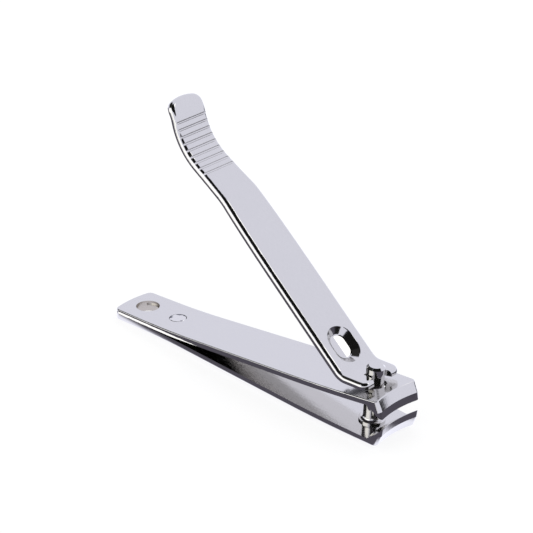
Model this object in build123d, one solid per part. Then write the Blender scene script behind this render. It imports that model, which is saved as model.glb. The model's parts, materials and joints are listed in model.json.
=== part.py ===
from build123d import *
import math
import os

os.makedirs("parts", exist_ok=True)

# All sizes are in millimetres. The pieces are drawn in the blade frame: X runs from the rear
# end to the cutting edges, Z = 0 is the plane where the two blades meet at the rear, and +Z is
# the side of the upper blade. They are then moved to the part frame, which has its origin at
# the centre of the pin head's underside and +Z along the pin.

# Blades
SHEET = 1.25                 # blade sheet thickness
LENGTH = 80.0                # rear end to the corners of the cutting edge
REAR_HALF_WIDTH = 5.8
TAPER_X = 56.0               # where the straight sides end and curve in towards the jaws
TAPER_HALF_WIDTH = 7.22
JAW_HALF_WIDTH = 6.4
REAR_BULGE = 0.7             # how far the rear edge is rounded out
REAR_CORNER = 1.4
SPREAD = 3.73                # angle of each straight blade half to the meeting plane, degrees
BEND_X = 15.8                # middle of the gentle bend where the blades part
BEND_RADIUS = 240.0
RING_HOLE_X = 5.5
RING_HOLE_RADIUS = 2.7
RIVET_X = 15.0
RIVET_RADIUS = 1.95
RIVET_GAP = 0.08             # between the rivet and the upper blade's hole
RIVET_PROUD = 0.12
BLADE_EDGE_ROUND = 0.25      # outer rim of each blade

# Jaws
EDGE_HEIGHT = 1.25           # cutting edge above the meeting plane
EDGE_LAND = 0.12
EDGE_HOLLOW = 0.85           # how far the cutting edge curves in at its middle
FACE_LEAN = 23.0             # front face to the vertical, degrees
BEVEL_LEAN = 9.0
BEVEL_HEIGHT = 1.7
INNER_LEAN = 52.0
JAW_ROOT = 9.0               # how far behind the edge the thicker jaw starts
JAW_FOOT = 5.2               # how far behind the edge its flat lower side starts
JAW_CORNER = 1.0             # rounding of the jaw's front corners

# Pin
PIN_X = 72.2                 # where the pin crosses the lower blade's inner face
PIN_RADIUS = 2.05
HEAD_RADIUS = 3.6
COLLAR_RADIUS = 2.95
COLLAR_HEIGHT = 0.45
FLARE_RADIUS = 0.75
PIN_TOP = 13.3               # pin top above the lower blade's inner face
TOP_CHAMFER = 0.5
PIN_HOLE_RADIUS = 2.65       # clearance hole in the upper blade
NOTCH_RADIUS = 1.28
HEAD_ROUND = 0.3

# Lever, by its top face in the blade frame
LEVER_SHEET = 1.4
FRONT = (75.0, 7.7)
HEEL = (68.3, 7.7)
WAIST = (34.5, 38.35)
THUMB = (21.65, 46.4)
CURL = (19.6, 54.6)
TIP = (17.3, 56.5)
HEEL_RADIUS = 3.0
WAIST_RADIUS = 14.0
THUMB_RADIUS = 14.0
CURL_RADIUS = 8.0
BAR_X = 71.1                 # middle of the cross bar's rounded front
BAR_RADIUS = 0.95
SLOT_HALF_WIDTH = 2.4
SLOT_FLARE = 0.9
BAR_ROUND = 0.65
FORK_CORNER = 2.0
FORK_HALF_WIDTH = 6.1
TIP_HALF_WIDTH = 4.9
TIP_BULGE = 1.1              # how far the tip is rounded out
TIP_CORNER = 2.4
TIP_OVER = 1.5               # how far the raw strip runs on past the tip
# Distance ahead of the waist along the straight stretch, and half width there
LEVER_WIDTHS = [(-16, 4.95), (-5, 5.2), (3, 5.65), (14, 6.0), (32, 6.1), (46, 6.15)]
EDGE_ROUND = 1.0
GROOVE_COUNT = 9
GROOVE_PITCH = 1.6
GROOVE_RADIUS = 0.3
GROOVE_DEPTH = 0.28
GROOVE_START = 5.75           # first groove's distance from the tip along the top face

# Trough pressed into the lever behind the cross bar, which shows as a bump underneath
TROUGH_HALF_WIDTH = 3.5
TROUGH_FRONT = 1.25          # ends of the trough, back from the heel along the straight stretch
TROUGH_REAR = 10.2
TROUGH_DEPTH = 1.5
TROUGH_CROWN = 0.4           # how much shallower its floor is at the sides
TROUGH_TAPER = 48.0          # its walls to the upright, degrees
TROUGH_RIM = 0.3
TROUGH_FILLET = 0.5
BUMP_HEIGHT = 0.9
BUMP_INSET = 0.25

WIDE = 20.0                  # more than any half width
OVER = 4.0                   # how far the raw sheet runs on past the jaws
SAME = 0.01                  # two surfaces closer than this are one
slope = math.tan(math.radians(SPREAD))


def inner_z(x):
    """Height of the upper blade's inner face on its straight front half."""
    return slope * (x - BEND_X)


def side_solid(outline, half_width=WIDE):
    """A solid whose side view is the outline, drawn in the blade frame's X and Z."""
    return extrude(make_face(Plane.XZ * outline), half_width, both=True)


def blade_line(level, radius):
    """Side view of one face of the sheet: flat rear, gentle bend, straight front half."""
    far_x = LENGTH + OVER
    return FilletPolyline((0, level), (BEND_X, level), (far_x, level + inner_z(far_x)), radius=radius)


def sheet_solid():
    """The blade's bent strip, before its jaw is added and its outline cut."""
    top = blade_line(SHEET, BEND_RADIUS)
    low = blade_line(0, BEND_RADIUS + SHEET)
    ends = [Line(top @ 0, low @ 0), Line(top @ 1, low @ 1)]
    return side_solid(Wire(top.edges() + low.edges() + ends))


def plan_solid():
    """Everything inside the blade's outline as seen from above."""
    rear = ThreePointArc((REAR_BULGE, -REAR_HALF_WIDTH), (0, 0), (REAR_BULGE, REAR_HALF_WIDTH))
    far_x = LENGTH + OVER
    end = Line((far_x, -JAW_HALF_WIDTH), (far_x, JAW_HALF_WIDTH))
    pieces = [rear, end]
    for side in (-1, 1):
        straight = Line((REAR_BULGE, side * REAR_HALF_WIDTH), (TAPER_X, side * TAPER_HALF_WIDTH))
        pieces.append(straight)
        pieces.append(TangentArc(straight @ 1, (far_x, side * JAW_HALF_WIDTH), tangent=straight % 1))
    body = extrude(make_face(Wire(pieces)), WIDE, both=True)
    corners = body.edges().filter_by(Axis.Z).group_by(Axis.X)[0]
    return fillet(corners, REAR_CORNER)


def leaning_solid(middle_x, level, lean, up, ahead):
    """The space ahead of (or behind) a hollow face that leans back as it rises.

    At the given level the face crosses the blade on an arc that curves in at its middle.
    """
    half = JAW_HALF_WIDTH + OVER
    radius = (JAW_HALF_WIDTH ** 2 + EDGE_HOLLOW ** 2) / (2 * EDGE_HOLLOW)
    end_x = middle_x + radius - math.sqrt(radius ** 2 - half ** 2)
    far_x = end_x + WIDE if ahead else middle_x - WIDE
    arc = ThreePointArc((end_x, -half), (middle_x, 0), (end_x, half))
    rest = Polyline((end_x, half), (far_x, half), (far_x, -half), (end_x, -half))
    face = Plane.XY.offset(level) * make_face(Wire([arc] + rest.edges()))
    angle = math.radians(lean)
    sign = 1 if up else -1
    return extrude(face, WIDE, dir=Vector(-sign * math.sin(angle), 0, sign * math.cos(angle)))


def jaw_solid():
    """The thicker front end that the cutting edge is ground on, still uncut."""
    root_x = LENGTH - JAW_ROOT
    far_x = LENGTH + OVER
    return side_solid(Polyline(
        (root_x, inner_z(root_x)),
        (root_x, inner_z(root_x) + SHEET / 2),
        (far_x, inner_z(LENGTH) + SHEET),
        (far_x, EDGE_HEIGHT),
        (LENGTH - JAW_FOOT, EDGE_HEIGHT),
        close=True,
    ))


def below_sheet():
    """The space under the sheet's straight front half, which the jaw's hollow is cut from."""
    near_x = LENGTH / 2
    far_x = LENGTH + OVER
    return side_solid(Polyline(
        (near_x, inner_z(near_x)),
        (far_x, inner_z(far_x)),
        (far_x, -1),
        (near_x, -1),
        close=True,
    ))


def front_corners(body):
    """The upright edges between the jaw's sides and its front faces."""
    found = []
    for edge in body.edges():
        middle = edge @ 0.5
        at_side = abs(middle.Y) > JAW_HALF_WIDTH - 0.5
        upright = abs((edge % 0.5).Z) > 0.5
        if at_side and upright and middle.X > LENGTH - 3 and middle.Z > EDGE_HEIGHT + EDGE_LAND:
            found.append(edge)
    return found


def on_line(edge, line):
    """True where the edge lies over a side-view line."""
    middle = edge @ 0.5
    return line.distance_to(Vertex(middle.X, middle.Z, 0)) < SAME


def outer_rim(body):
    """The edges of the blade's outer face, except the seams across it."""
    outer = Wire(blade_line(SHEET, BEND_RADIUS).edges())
    found = []
    for edge in body.edges():
        middle = edge @ 0.5
        seam = abs(middle.Y) < 1 and 1 < middle.X < LENGTH - JAW_ROOT
        if on_line(edge, outer) and not seam:
            found.append(edge)
    return found


def blade():
    """The upper blade without its pin hole and rivet hole."""
    blank = (sheet_solid() + jaw_solid()) & plan_solid()
    edge_x = LENGTH - EDGE_HOLLOW
    bevel_top_x = edge_x - BEVEL_HEIGHT * math.tan(math.radians(BEVEL_LEAN))
    bevel_level = EDGE_HEIGHT + BEVEL_HEIGHT
    face_cut = leaning_solid(bevel_top_x, bevel_level, FACE_LEAN, True, True)
    bevel_cut = leaning_solid(bevel_top_x, bevel_level, BEVEL_LEAN, False, True)
    hollow = leaning_solid(edge_x - EDGE_LAND, EDGE_HEIGHT, INNER_LEAN, True, False)
    body = blank - face_cut - bevel_cut
    body = fillet(front_corners(body), JAW_CORNER)
    body = body - (hollow & below_sheet())
    body = fillet(outer_rim(body), BLADE_EDGE_ROUND)
    return body - Pos(RING_HOLE_X, 0, 0) * Cylinder(RING_HOLE_RADIUS, WIDE)


# The pin stands square on the lower blade. Its head is as deep as it takes for the lower
# blade's rear end and the head's underside to lie on one level.
lean = math.radians(SPREAD)
HEAD_HEIGHT = PIN_X * math.sin(lean) + (SHEET - inner_z(PIN_X)) * math.cos(lean) - SHEET
pin_plane = Plane(
    origin=(PIN_X, 0, -inner_z(PIN_X)),
    x_dir=(math.cos(lean), 0, -math.sin(lean)),
    z_dir=(math.sin(lean), 0, math.cos(lean)),
)
part_plane = pin_plane.offset(-SHEET - HEAD_HEIGHT)
to_part = part_plane.location.inverse()


def pin_hole(radius):
    return pin_plane.location * Cylinder(radius, 3 * WIDE)


def rivet_hole(radius):
    return Pos(RIVET_X, 0, 0) * Cylinder(radius, WIDE)


def upper_blade():
    return blade() - pin_hole(PIN_HOLE_RADIUS) - rivet_hole(RIVET_RADIUS + RIVET_GAP)


def lower_blade():
    return mirror(blade(), about=Plane.XY) - pin_hole(PIN_RADIUS) - rivet_hole(RIVET_RADIUS)


def rear_rivet():
    body = Cylinder(RIVET_RADIUS, 2 * (SHEET + RIVET_PROUD))
    rims = body.edges().filter_by(GeomType.CIRCLE)
    return Pos(RIVET_X, 0, 0) * chamfer(rims, RIVET_PROUD)


def bar_centre():
    """Middle of the cross bar's round front, in the blade frame's X and Z."""
    return BAR_X, FRONT[1] - BAR_RADIUS


def pivot_pin():
    """Turned pin: flat head, collar, shaft, and a notch for the lever's cross bar."""
    bottom = -SHEET - HEAD_HEIGHT
    flare_top = COLLAR_HEIGHT + FLARE_RADIUS
    shoulder = PIN_RADIUS + FLARE_RADIUS
    lower = Polyline(
        (0, bottom),
        (HEAD_RADIUS - HEAD_ROUND, bottom),
        (HEAD_RADIUS, bottom + HEAD_ROUND),
        (HEAD_RADIUS, -SHEET),
        (PIN_RADIUS, -SHEET),
        (PIN_RADIUS, 0),
        (COLLAR_RADIUS, 0),
        (COLLAR_RADIUS, COLLAR_HEIGHT),
        (shoulder, COLLAR_HEIGHT),
    )
    flare = RadiusArc((shoulder, COLLAR_HEIGHT), (PIN_RADIUS, flare_top), FLARE_RADIUS)
    upper = Polyline(
        (PIN_RADIUS, flare_top),
        (PIN_RADIUS, PIN_TOP - TOP_CHAMFER),
        (PIN_RADIUS - TOP_CHAMFER, PIN_TOP),
        (0, PIN_TOP),
        (0, bottom),
    )
    outline = Wire(lower.edges() + flare.edges() + upper.edges())
    body = pin_plane.location * revolve(make_face(Plane.XZ * outline), Axis.Z)
    bar_x, bar_z = bar_centre()
    notch = Pos(bar_x, 0, bar_z) * Rot(90, 0, 0) * Cylinder(NOTCH_RADIUS, WIDE)
    reach = 2 * PIN_RADIUS
    mouth = Pos(bar_x - reach / 2, 0, bar_z) * Box(reach, WIDE, 2 * NOTCH_RADIUS)
    return body - notch - mouth


def lever_path():
    """Side view of the lever's top face, from its forked front to a little past its tip."""
    past_tip = Vector(TIP) + (Vector(TIP) - Vector(CURL)).normalized() * TIP_OVER
    points = [FRONT, HEEL, WAIST, THUMB, CURL, past_tip]
    return FilletPolyline(*points, radius=[HEEL_RADIUS, WAIST_RADIUS, THUMB_RADIUS, CURL_RADIUS])


def straight_plane(corner):
    """Plane of the lever's long straight stretch, with its origin at one of its corners."""
    ahead = (Vector(HEEL) - Vector(WAIST)).normalized()
    origin = (corner[0], 0, corner[1])
    return Plane(origin=origin, x_dir=(ahead.X, 0, ahead.Y), z_dir=(-ahead.Y, 0, ahead.X))


def lever_plan():
    """The lever's outline seen square to its long straight stretch, as a solid."""
    plane = straight_plane(WAIST)
    tip_x = plane.to_local_coords(Vector(TIP[0], 0, TIP[1])).X
    front_x = plane.to_local_coords(Vector(FRONT[0], 0, FRONT[1])).X
    stations = [(tip_x + TIP_BULGE, TIP_HALF_WIDTH)] + LEVER_WIDTHS + [(front_x + 2, FORK_HALF_WIDTH)]
    right = Spline(*[(x, -y) for x, y in stations])
    left = Spline(*[(x, y) for x, y in stations])
    tip = ThreePointArc(right @ 0, (tip_x, 0), left @ 0)
    front = Line(right @ 1, left @ 1)
    outline = Wire(right.edges() + left.edges() + tip.edges() + front.edges())
    body = extrude(make_face(outline), 2 * WIDE, both=True)
    tip_corners = body.edges().filter_by(Axis.Z).sort_by(Axis.X)[:2]
    return plane.location * fillet(tip_corners, TIP_CORNER)


def trough():
    """The hollow pressed into the top face, with steep walls and a low V-shaped floor."""
    length = TROUGH_REAR - TROUGH_FRONT
    outline = Pos(-TROUGH_FRONT - length / 2, 0, 0) * SlotOverall(length, 2 * TROUGH_HALF_WIDTH)
    tapered = extrude(outline, LEVER_SHEET) + extrude(outline, -TROUGH_DEPTH, taper=TROUGH_TAPER)
    shallow = TROUGH_CROWN - TROUGH_DEPTH
    section = Polyline(
        (-TROUGH_HALF_WIDTH, LEVER_SHEET),
        (TROUGH_HALF_WIDTH, LEVER_SHEET),
        (TROUGH_HALF_WIDTH, shallow),
        (0, -TROUGH_DEPTH),
        (-TROUGH_HALF_WIDTH, shallow),
        close=True,
    )
    hollow = tapered & extrude(make_face(Plane.YZ * section), 2 * WIDE, both=True)
    floor_rim = []
    for edge in hollow.edges():
        middle = edge @ 0.5
        if middle.Z < -TROUGH_DEPTH / 3 and abs(middle.Y) > 1:
            floor_rim.append(edge)
    return straight_plane(HEEL).location * fillet(floor_rim, TROUGH_FILLET)


def trough_bump():
    """The bump that the trough raises under the sheet."""
    length = TROUGH_REAR - TROUGH_FRONT - 2 * BUMP_INSET
    middle = (TROUGH_REAR + TROUGH_FRONT) / 2
    outline = Pos(-middle, 0, 0) * SlotOverall(length, 2 * (TROUGH_HALF_WIDTH - BUMP_INSET))
    boss = Pos(0, 0, -LEVER_SHEET / 2) * extrude(outline, -BUMP_HEIGHT - LEVER_SHEET / 2, taper=TROUGH_TAPER)
    boss = fillet(boss.edges().group_by(Axis.Z)[0], TROUGH_FILLET)
    return straight_plane(HEEL).location * boss


def fork_slot():
    """The open gap at the front that the pin stands in. It widens a little to the front."""
    rear_x = BAR_X + BAR_RADIUS
    flare_x = rear_x + 1.5
    front_x = FRONT[0] + 1
    wide = SLOT_HALF_WIDTH + SLOT_FLARE
    outline = Polyline(
        (rear_x, -SLOT_HALF_WIDTH),
        (rear_x, SLOT_HALF_WIDTH),
        (flare_x, SLOT_HALF_WIDTH),
        (front_x, wide),
        (front_x, -wide),
        (flare_x, -SLOT_HALF_WIDTH),
        close=True,
    )
    return Pos(0, 0, FRONT[1]) * extrude(make_face(outline), 5, both=True)


def grooves(path):
    """Round-bottomed cross grooves on the thumb rest, at an even pitch along the top face."""
    cuts = []
    for index in range(GROOVE_COUNT):
        along = TIP_OVER + GROOVE_START + index * GROOVE_PITCH
        share = 1 - along / path.length
        point = path.position_at(share)
        normal = path.tangent_at(share).rotate(Axis.Z, 90)
        centre = point - normal * (GROOVE_RADIUS - GROOVE_DEPTH)
        cuts.append(Pos(centre.X, 0, centre.Y) * Rot(90, 0, 0) * Cylinder(GROOVE_RADIUS, 2 * WIDE))
    return cuts


def fork_corners(body):
    """The upright corners at the two front ends of the fork."""
    found = []
    for edge in body.edges():
        if (edge @ 0.5).X > FRONT[0] - 0.2 and abs((edge % 0.5).Z) > 0.9:
            found.append(edge)
    return found


def long_edges(body, path):
    """The rim of the lever's top face, except the seams across it."""
    return [edge for edge in body.edges() if on_line(edge, path) and abs((edge % 0.5).Y) < 0.99]


def trough_rim(body, path):
    """The edges where the trough breaks through the lever's top face."""
    found = []
    for edge in body.edges():
        middle = edge @ 0.5
        inside = abs(middle.Y) < TROUGH_HALF_WIDTH + 0.1 and middle.X > HEEL[0] - TROUGH_REAR
        seam = abs((edge % 0.1).Y) > 0.99
        if on_line(edge, path) and inside and not seam:
            found.append(edge)
    return found


def lever():
    """Bent sheet lever: forked front, cross bar, pressed trough, and a grooved thumb rest."""
    path = Wire(lever_path().edges())
    body = side_solid(offset(path, LEVER_SHEET, side=Side.LEFT)) & lever_plan()
    body = fillet(fork_corners(body), FORK_CORNER)
    body = fillet(long_edges(body, path), EDGE_ROUND)
    body = body + trough_bump() - trough()
    body = fillet(trough_rim(body, path), TROUGH_RIM)
    body = body - fork_slot()
    bar_front = body.edges().filter_by(Axis.Y).filter_by_position(Axis.X, BAR_X + 0.5, BAR_X + 1.5)
    body = fillet(bar_front, BAR_ROUND)
    for cut in grooves(path):
        body = body - cut
    return body


def write(node, shape):
    shape.label = node
    export_step(shape, f"parts/{node}.step")


if __name__ == "__main__":
    write("upper_blade", to_part * upper_blade())
    write("lower_blade", to_part * lower_blade())
    write("rear_rivet", to_part * rear_rivet())
    write("pivot_pin", to_part * pivot_pin())
    write("lever", to_part * lever())
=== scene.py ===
import json
import math

import bpy
from mathutils import Matrix, Vector

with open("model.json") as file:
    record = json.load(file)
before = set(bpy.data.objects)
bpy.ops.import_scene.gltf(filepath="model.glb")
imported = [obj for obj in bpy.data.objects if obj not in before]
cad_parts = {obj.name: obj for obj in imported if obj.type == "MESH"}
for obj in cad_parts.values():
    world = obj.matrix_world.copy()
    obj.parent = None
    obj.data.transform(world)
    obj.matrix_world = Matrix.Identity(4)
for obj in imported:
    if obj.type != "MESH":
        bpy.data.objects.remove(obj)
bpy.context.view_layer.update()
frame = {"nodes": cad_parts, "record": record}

MM = 0.001

# Camera: where it looks from, and the point at the middle of its view
CAMERA_AZIMUTH = 40.4
CAMERA_ELEVATION = 27.9
CAMERA_ROLL = 3.1
CAMERA_DISTANCE = 553.0 * MM
CAMERA_TARGET = Vector((-38.2, 7.4, 21.6)) * MM
LENS = 168.9


class Nodes:
    """Short calls for building one node tree."""

    def __init__(self, tree):
        self.tree = tree
        tree.nodes.clear()

    def add(self, kind, **settings):
        node = self.tree.nodes.new(kind)
        for name, value in settings.items():
            setattr(node, name, value)
        return node

    def put(self, socket, value):
        """Links a socket to another socket, or sets it to a constant."""
        if isinstance(value, bpy.types.NodeSocket):
            self.tree.links.new(value, socket)
        elif value is not None:
            socket.default_value = value

    def math(self, operation, first, second=None, third=None):
        node = self.add("ShaderNodeMath", operation=operation)
        self.put(node.inputs[0], first)
        self.put(node.inputs[1], second)
        self.put(node.inputs[2], third)
        return node.outputs[0]

    def dot(self, vector, direction):
        node = self.add("ShaderNodeVectorMath", operation="DOT_PRODUCT")
        self.put(node.inputs[0], vector)
        node.inputs[1].default_value = Vector(direction).normalized()
        return node.outputs["Value"]

    def vector(self, operation, first, second=None):
        node = self.add("ShaderNodeVectorMath", operation=operation)
        self.put(node.inputs[0], first)
        self.put(node.inputs[1], second)
        scalar = operation in ("LENGTH", "DISTANCE")
        return node.outputs["Value" if scalar else "Vector"]

    def noise(self, position, scale):
        node = self.add("ShaderNodeTexNoise")
        self.put(node.inputs["Vector"], position)
        node.inputs["Scale"].default_value = scale
        return node.outputs[0]

    def smooth(self, value, low, high):
        """0 below low, 1 above high, with an eased step between them."""
        node = self.add("ShaderNodeMapRange", interpolation_type="SMOOTHSTEP")
        self.put(node.inputs["Value"], value)
        node.inputs["From Min"].default_value = low
        node.inputs["From Max"].default_value = high
        return node.outputs["Result"]

    def mix(self, factor, first, second):
        node = self.add("ShaderNodeMix", data_type="RGBA")
        self.put(node.inputs[0], factor)
        self.put(node.inputs[6], first)
        self.put(node.inputs[7], second)
        return node.outputs[2]


def grey(value, tint=(1.0, 1.0, 1.0)):
    return (value * tint[0], value * tint[1], value * tint[2], 1.0)


# Chrome is a little warm in itself, and the studio light a little blue
CHROME_TINT = (1.0, 0.985, 0.96)
SKY_TINT = (0.95, 0.96, 1.10)
SHADE_TINT = (1.0, 0.93, 1.22)
CHROME_LEVEL = 0.66          # how much light the plate returns
RIVET_LEVEL = 0.72

# Painted shade in the key-ring hole and under the lever's heel, and dark chips round the rivet: colour
# and roughness
# Painted shade: the key-ring hole's wall is darker and warmer, as it looks in its own shade
HOLE_PAINTED_SHADE = ((0.42, 0.39, 0.35, 1.0), 0.25)
# Painted shade: near black on the lever's underside behind the heel
HEEL_PAINTED_SHADE = ((0.08, 0.08, 0.09, 1.0), 0.35)
CHIPPED_PLATE = ((0.15, 0.15, 0.17, 1.0), 0.3)
HEEL_MIDDLE = Vector((-8.0, 0.0, 12.5)) * MM

# Polishing lines
POLISH_ANGLE = 38.0
POLISH_SCALE = (300, 3500, 1500)
POLISH_DEPTH = 0.02 * MM

# Lower part of the upper blade's cut sides, where the sheet broke instead of shearing
BREAK_HEIGHT = (0.66 * MM, 0.58 * MM)
BREAK_LEAN = 0.45
BREAK_RAGGED = 0.25 * MM

# Patches of the studio: direction, the cosines where each starts and is full, brightness
DARK_CEILING = ((0.45, -0.25, 0.86), 0.76, 0.81, 0.01)
DARK_WALL = ((-0.60, -0.28, 0.75), 0.80, 0.88, 0.03)
LAMP = ((0.402, 0.495, 0.76), 0.990, 0.996, 2.0)
LOW_WINDOW = ((-0.30, -0.945, 0.12), 0.80, 0.88, 1.7)
FAR_CORNER = (0.733, 0.68, 0.0)
SKY_LEVEL = 1.02
BLACK_LEVEL = 0.01

# Floor as the camera sees it, and the table that the metal mirrors in its place
GROUND_SIZE = 6.0
FLOOR_COLOUR = 0.25
FLOOR_GLOW = 0.78
TABLE_DROP = 0.2 * MM
TABLE_DARK = 0.11
TABLE_BRIGHT = 1.3
TABLE_FRONT = 1.5
TABLE_CORNER = 0.015


def make_world():
    """White studio with two black patches and two bright ones, which only the metal mirrors.

    Diffuse light and the camera's background are plain white.
    """
    world = bpy.data.worlds.new("studio")
    bpy.context.scene.world = world
    world.use_nodes = True
    n = Nodes(world.node_tree)
    direction = n.add("ShaderNodeTexCoord").outputs["Generated"]
    colour = grey(SKY_LEVEL, SKY_TINT)
    # The studio's far corner darkens towards the floor
    corner = n.smooth(n.dot(direction, FAR_CORNER), 0.80, 0.93)
    low = n.smooth(n.dot(direction, (0, 0, 1)), 0.05, -0.03)
    colour = n.mix(n.math("MULTIPLY", corner, low), colour, grey(BLACK_LEVEL))
    for centre, start, full, level in (DARK_CEILING, DARK_WALL, LAMP, LOW_WINDOW):
        inside = n.smooth(n.dot(direction, centre), start, full)
        colour = n.mix(inside, colour, grey(level))
    path = n.add("ShaderNodeLightPath")
    colour = n.mix(path.outputs["Is Diffuse Ray"], colour, grey(1.0))
    colour = n.mix(path.outputs["Is Camera Ray"], colour, grey(1.0))
    background = n.add("ShaderNodeBackground")
    n.put(background.inputs["Color"], colour)
    output = n.add("ShaderNodeOutputWorld")
    n.put(output.inputs["Surface"], background.outputs[0])


def plane(name, size, height):
    """Level square, which isn't part of the object."""
    half = size / 2
    mesh = bpy.data.meshes.new(name)
    around = [(-half, -half), (half, -half), (half, half), (-half, half)]
    corners = [(x, y, height) for x, y in around]
    mesh.from_pydata(corners, [], [(0, 1, 2, 3)])
    obj = bpy.data.objects.new(name, mesh)
    bpy.context.scene.collection.objects.link(obj)
    return obj


def make_floor():
    """Pale floor that glows a little, so that the contact shadows stay faint."""
    floor = plane("floor", GROUND_SIZE, 0.0)
    material = bpy.data.materials.new("pale_floor")
    material.use_nodes = True
    n = Nodes(material.node_tree)
    diffuse = n.add("ShaderNodeBsdfDiffuse")
    diffuse.inputs["Color"].default_value = grey(FLOOR_COLOUR)
    glow = n.add("ShaderNodeEmission")
    glow.inputs["Color"].default_value = grey(FLOOR_GLOW)
    both = n.add("ShaderNodeAddShader")
    n.put(both.inputs[0], diffuse.outputs[0])
    n.put(both.inputs[1], glow.outputs[0])
    n.put(n.add("ShaderNodeOutputMaterial").inputs["Surface"], both.outputs[0])
    floor.data.materials.append(material)
    floor.visible_glossy = False


def make_reflector():
    """The table that only the metal mirrors, in place of the floor that the camera sees.

    It is dark just before and ahead of the object, bright under and behind it, bright far
    before it, and black in the corner far ahead.
    """
    card = plane("table_reflector", GROUND_SIZE, -TABLE_DROP)
    material = bpy.data.materials.new("mirrored_table")
    material.use_nodes = True
    n = Nodes(material.node_tree)
    position = n.add("ShaderNodeTexCoord").outputs["Object"]
    parts = n.add("ShaderNodeSeparateXYZ")
    n.put(parts.inputs[0], position)
    under = n.smooth(parts.outputs["Y"], -8.5 * MM, -7.0 * MM)
    not_ahead = n.smooth(parts.outputs["X"], 9.5 * MM, 7.5 * MM)
    near_bright = n.math("MULTIPLY", under, not_ahead)
    colour = n.mix(near_bright, grey(TABLE_DARK, SHADE_TINT), grey(TABLE_BRIGHT, SKY_TINT))
    before = n.smooth(parts.outputs["Y"], -100 * MM, -250 * MM)
    colour = n.mix(before, colour, grey(TABLE_FRONT))
    far_ahead = n.smooth(parts.outputs["X"], 40 * MM, 80 * MM)
    corner = n.math("MULTIPLY", far_ahead, n.math("SUBTRACT", 1.0, before))
    colour = n.mix(corner, colour, grey(TABLE_CORNER))
    emission = n.add("ShaderNodeEmission")
    n.put(emission.inputs["Color"], colour)
    n.put(n.add("ShaderNodeOutputMaterial").inputs["Surface"], emission.outputs[0])
    card.data.materials.append(material)
    card.visible_camera = False
    card.visible_diffuse = False
    card.visible_shadow = False


def polish_lines(n, position):
    """Fine diagonal lines left by the polishing belt."""
    mapping = n.add("ShaderNodeMapping")
    n.put(mapping.inputs["Vector"], position)
    mapping.inputs["Rotation"].default_value = (0, 0, math.radians(POLISH_ANGLE))
    mapping.inputs["Scale"].default_value = POLISH_SCALE
    lines = n.add("ShaderNodeTexNoise")
    n.put(lines.inputs["Vector"], mapping.outputs[0])
    lines.inputs["Scale"].default_value = 1.0
    lines.inputs["Detail"].default_value = 3.0
    return lines.outputs[0]


def chrome(name, level, roughness, grain, shade_and_chips=None, edge_normal=None):
    """Polished plate with faint polishing lines.

    The fifth argument holds the function that masks the painted shade and the rivet's chips,
    and the colour and roughness there. edge_normal is the function that makes the normal on the sheet's
    cut edges.
    """
    colour = grey(level, CHROME_TINT)
    material = bpy.data.materials.new(name)
    material.use_nodes = True
    n = Nodes(material.node_tree)
    position = n.add("ShaderNodeTexCoord").outputs["Object"]
    lines = polish_lines(n, position)
    bump = n.add("ShaderNodeBump")
    n.put(bump.inputs["Height"], lines)
    bump.inputs["Strength"].default_value = grain
    bump.inputs["Distance"].default_value = POLISH_DEPTH
    shader = n.add("ShaderNodeBsdfPrincipled")
    shader.inputs["Metallic"].default_value = 1.0
    spread = n.add("ShaderNodeMapRange")
    n.put(spread.inputs["Value"], lines)
    spread.inputs["To Min"].default_value = roughness * 0.8
    spread.inputs["To Max"].default_value = roughness * 1.3
    darker = tuple(c * 0.95 for c in colour[:3]) + (1.0,)
    plate = n.mix(lines, darker, colour)
    rough = spread.outputs[0]
    # Painted shade (key-ring hole, lever's heel) and the rivet's chips
    if shade_and_chips:
        make_mask, (shade_and_chip_colour, shade_and_chip_roughness) = shade_and_chips
        mask = make_mask(n, position)
        plate = n.mix(mask, plate, shade_and_chip_colour)
        rough = n.math("MULTIPLY_ADD", mask, n.math("SUBTRACT", shade_and_chip_roughness, rough), rough)
    n.put(shader.inputs["Base Color"], plate)
    n.put(shader.inputs["Roughness"], rough)
    if edge_normal:
        n.put(bump.inputs["Normal"], edge_normal(n, position))
    n.put(shader.inputs["Normal"], bump.outputs[0])
    n.put(n.add("ShaderNodeOutputMaterial").inputs["Surface"], shader.outputs[0])
    return material


def record_item(group, name):
    return next(item for item in group if item["name"] == name)


def ring_hole_mask(n, position):
    """The wall of the key-ring hole, which gets painted shade."""
    hole = record_item(frame["record"]["mounts"], "ring_hole")
    offset = n.vector("SUBTRACT", position, hole["pos_m"])
    radius = n.vector("LENGTH", n.vector("CROSS_PRODUCT", offset, hole["axis"]))
    wall = hole["dims"]["r_mm"] * MM
    return n.smooth(radius, wall + 0.06 * MM, wall + 0.01 * MM)


def broken_edge(n, position):
    """The normal of the upper blade's sides, which lean where the sheet broke.

    Heights are from the plane in which the two blades meet.
    """
    hole = record_item(frame["record"]["mounts"], "ring_hole")
    height = n.dot(n.vector("SUBTRACT", position, hole["pos_m"]), hole["axis"])
    height = n.math("MULTIPLY_ADD", n.noise(position, 900.0), -BREAK_RAGGED, height)
    band = n.math("MULTIPLY", n.smooth(height, *BREAK_HEIGHT), n.smooth(height, 0.0, 0.1 * MM))
    facing = n.dot(n.add("ShaderNodeTexCoord").outputs["Normal"], (0, 1, 0))
    side = n.smooth(n.math("ABSOLUTE", facing), 0.6, 0.8)
    lean = n.add("ShaderNodeVectorMath", operation="SCALE")
    lean.inputs[0].default_value = (0, 0, BREAK_LEAN)
    n.put(lean.inputs["Scale"], n.math("MULTIPLY", band, side))
    upright = n.add("ShaderNodeNewGeometry").outputs["Normal"]
    return n.vector("NORMALIZE", n.vector("ADD", upright, lean.outputs[0]))


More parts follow.
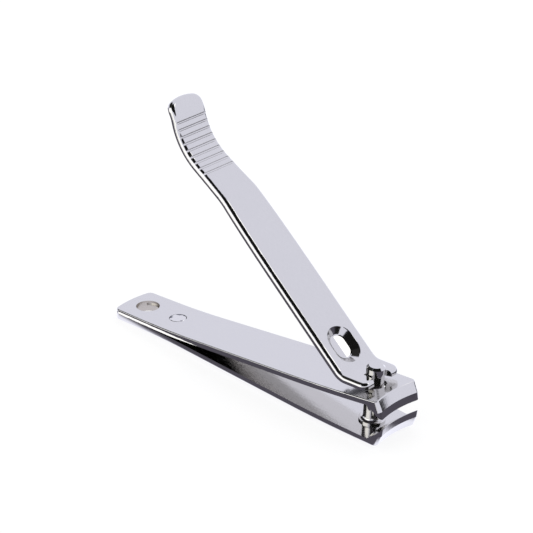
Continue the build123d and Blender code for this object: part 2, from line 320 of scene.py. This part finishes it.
def heel_painted_shade_mask(n, position):
    """Painted shade: the lever's underside behind its heel, painted near black."""
    normal = n.add("ShaderNodeTexCoord").outputs["Normal"]
    facing_down = n.smooth(n.dot(normal, (0, 0, 1)), -0.3, -0.6)
    near = n.smooth(n.vector("DISTANCE", position, HEEL_MIDDLE), 9.0 * MM, 6.0 * MM)
    return n.math("MULTIPLY", facing_down, near)


def rivet_mask(n, position):
    """Chips round the rivet's edge, left by grinding it flush."""
    hinge = record_item(frame["record"]["behaviour"]["joints"], "blade_squeeze")
    offset = n.vector("SUBTRACT", position, hinge["pos_m"])
    radius = n.vector("LENGTH", n.vector("MULTIPLY", offset, (1, 1, 0)))
    edge = n.smooth(radius, 1.1 * MM, 1.6 * MM)
    return n.math("MULTIPLY", edge, n.smooth(n.noise(position, 700.0), 0.46, 0.56))


def dress(node, material):
    obj = frame["nodes"][node]
    obj.data.materials.clear()
    obj.data.materials.append(material)


def make_camera():
    azimuth = math.radians(CAMERA_AZIMUTH)
    elevation = math.radians(CAMERA_ELEVATION)
    roll = math.radians(CAMERA_ROLL)
    back = Vector((
        math.sin(azimuth) * math.cos(elevation),
        -math.cos(azimuth) * math.cos(elevation),
        math.sin(elevation),
    ))
    level = Vector((math.cos(azimuth), math.sin(azimuth), 0))
    upright = back.cross(level)
    right = level * math.cos(roll) + upright * math.sin(roll)
    up = back.cross(right)
    camera = bpy.data.objects.new("camera", bpy.data.cameras.new("camera"))
    bpy.context.scene.collection.objects.link(camera)
    turn = Matrix((right, up, back)).transposed().to_4x4()
    camera.matrix_world = Matrix.Translation(CAMERA_TARGET + back * CAMERA_DISTANCE) @ turn
    camera.data.lens = LENS
    camera.data.clip_start = 0.01
    bpy.context.scene.camera = camera


make_camera()
make_world()
make_floor()
make_reflector()

# The blades get painted shade on the key-ring hole's wall
blade_plate = chrome("blade_chrome", CHROME_LEVEL, 0.10, 0.5, (ring_hole_mask, HOLE_PAINTED_SHADE), broken_edge)
dress("upper_blade", blade_plate)
dress("lower_blade", blade_plate)
# The lever gets painted shade on its underside behind the heel
dress("lever", chrome("lever_chrome", CHROME_LEVEL, 0.08, 0.3, (heel_painted_shade_mask, HEEL_PAINTED_SHADE)))
dress("pivot_pin", chrome("pin_chrome", CHROME_LEVEL, 0.06, 0.1))
dress("rear_rivet", chrome("rivet_chrome", RIVET_LEVEL, 0.15, 0.5, (rivet_mask, CHIPPED_PLATE)))
bpy.context.scene.view_settings.view_transform = "Standard"
